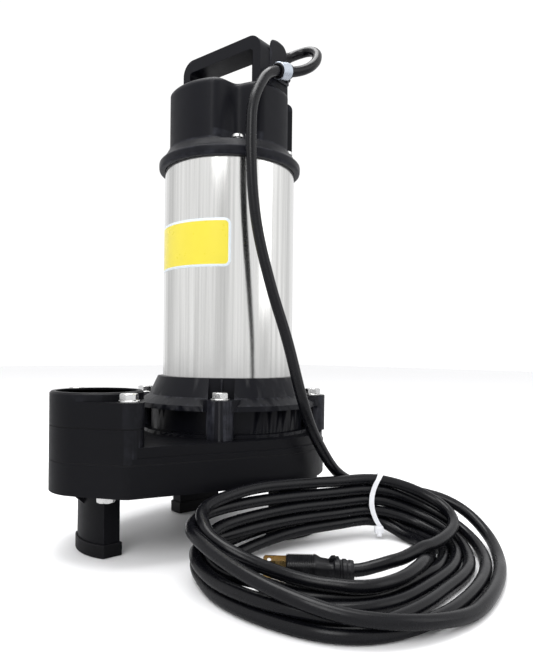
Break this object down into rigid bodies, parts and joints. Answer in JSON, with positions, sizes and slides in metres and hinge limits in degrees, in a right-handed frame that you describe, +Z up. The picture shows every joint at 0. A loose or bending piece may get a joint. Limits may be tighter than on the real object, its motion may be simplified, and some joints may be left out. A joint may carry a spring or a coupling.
{
  "type": "submersible sump pump",
  "caption": "Upright submersible sump pump: stainless motor sleeve with a handled cover on a volute casing with an upward discharge port, tall legs and a coiled power cord.",
  "frame": {"origin": "centre of the pump's footprint box, without its cord, at the undersides of the boots", "axes": "+Z up along the motor; the discharge port lies towards -X; the cord leaves the head towards +X and lies coiled on the -Y side"},
  "size_m": [0.3093, 0.3825, 0.4837],
  "materials": {
    "casing_plastic": "moulded, satin",
    "cover_plastic": "moulded, satin",
    "plate_plastic": "moulded, satin",
    "boot_rubber": "moulded, satin",
    "seal_rubber": "matt",
    "cord_rubber": "satin",
    "plug_rubber": "satin",
    "stainless_sleeve": "polished with faint lengthwise lines",
    "bolt_steel": "plain",
    "zinc_steel": "bright zinc",
    "dark_steel": "black oxide",
    "bearing_steel": "ground",
    "core_steel": "stacked laminations",
    "cast_aluminium": "as cast",
    "copper_winding": "varnished copper wire",
    "ceramic": "lapped",
    "seal_metal": "satin",
    "brass": "plain",
    "label_film": "printed film, blank",
    "tie_nylon": "moulded",
    "capacitor_shell": "plain",
    "protector_shell": "plain"
  },
  "bodies": {
    "pump": {"leg_discharge": "casing_plastic", "leg_left": "casing_plastic", "leg_right": "casing_plastic", "boot_discharge": "boot_rubber", "boot_left": "boot_rubber", "boot_right": "boot_rubber", "casing_lower": "casing_plastic", "suction_plate": "plate_plastic", "suction_screws": "bolt_steel", "casing_bolts": "bolt_steel", "casing_gasket": "seal_rubber", "casing_upper": "casing_plastic", "discharge_gasket": "seal_rubber", "discharge_flange": "casing_plastic", "discharge_bolts": "bolt_steel", "motor_bracket": "cover_plastic", "bracket_bolts": "bolt_steel", "oil_plug": "brass", "seal_plate": "plate_plastic", "seal_seat": "ceramic", "lower_bearing_outer": "bearing_steel", "upper_bearing_outer": "bearing_steel", "wave_washer": "bolt_steel", "upper_bearing_bracket": "cast_aluminium", "stator_core": "core_steel", "stator_windings": "copper_winding", "motor_sleeve": "stainless_sleeve", "sleeve_oring_lower": "seal_rubber", "sleeve_oring_upper": "seal_rubber", "through_bolts": "bolt_steel", "label": "label_film", "head_cover": "cover_plastic", "carry_handle": "cover_plastic", "handle_screws": "bolt_steel", "cord_housing": "cover_plastic", "cord_gland": "seal_rubber", "clip_band": "zinc_steel", "clip_liner": "seal_rubber", "clip_screw": "dark_steel", "capacitor": "capacitor_shell", "thermal_protector": "protector_shell", "cord_lead": "cord_rubber", "cord_coil": "cord_rubber", "cord_tail": "cord_rubber", "cord_tie": "tie_nylon", "plug_body": "plug_rubber", "plug_blades": "brass"},
    "rotor": {"motor_shaft": "bearing_steel", "rotor_core": "core_steel", "rotor_end_rings": "cast_aluminium", "lower_bearing_inner": "bearing_steel", "upper_bearing_inner": "bearing_steel", "seal_head": "seal_metal", "seal_spring": "bolt_steel", "impeller": "plate_plastic", "impeller_washer": "bolt_steel", "impeller_nut": "bolt_steel", "shaft_key": "bolt_steel"},
    "lower_balls": {"lower_bearing_balls": "bearing_steel"},
    "upper_balls": {"upper_bearing_balls": "bearing_steel"}
  },
  "joints": [
    {"name": "rotor_spin", "type": "hinge", "parent": "pump", "child": "rotor", "pos_m": [0.04075, 0, 0.2], "axis": [0, 0, 1], "continuous": true},
    {"name": "lower_balls_spin", "type": "hinge", "parent": "pump", "child": "lower_balls", "pos_m": [0.04075, 0, 0.145], "axis": [0, 0, 1], "continuous": true},
    {"name": "upper_balls_spin", "type": "hinge", "parent": "pump", "child": "upper_balls", "pos_m": [0.04075, 0, 0.322], "axis": [0, 0, 1], "continuous": true}
  ],
  "couplings": [
    {"joint": "lower_balls_spin", "follows": "rotor_spin", "ratio": 0.38},
    {"joint": "upper_balls_spin", "follows": "rotor_spin", "ratio": 0.38}
  ]
}
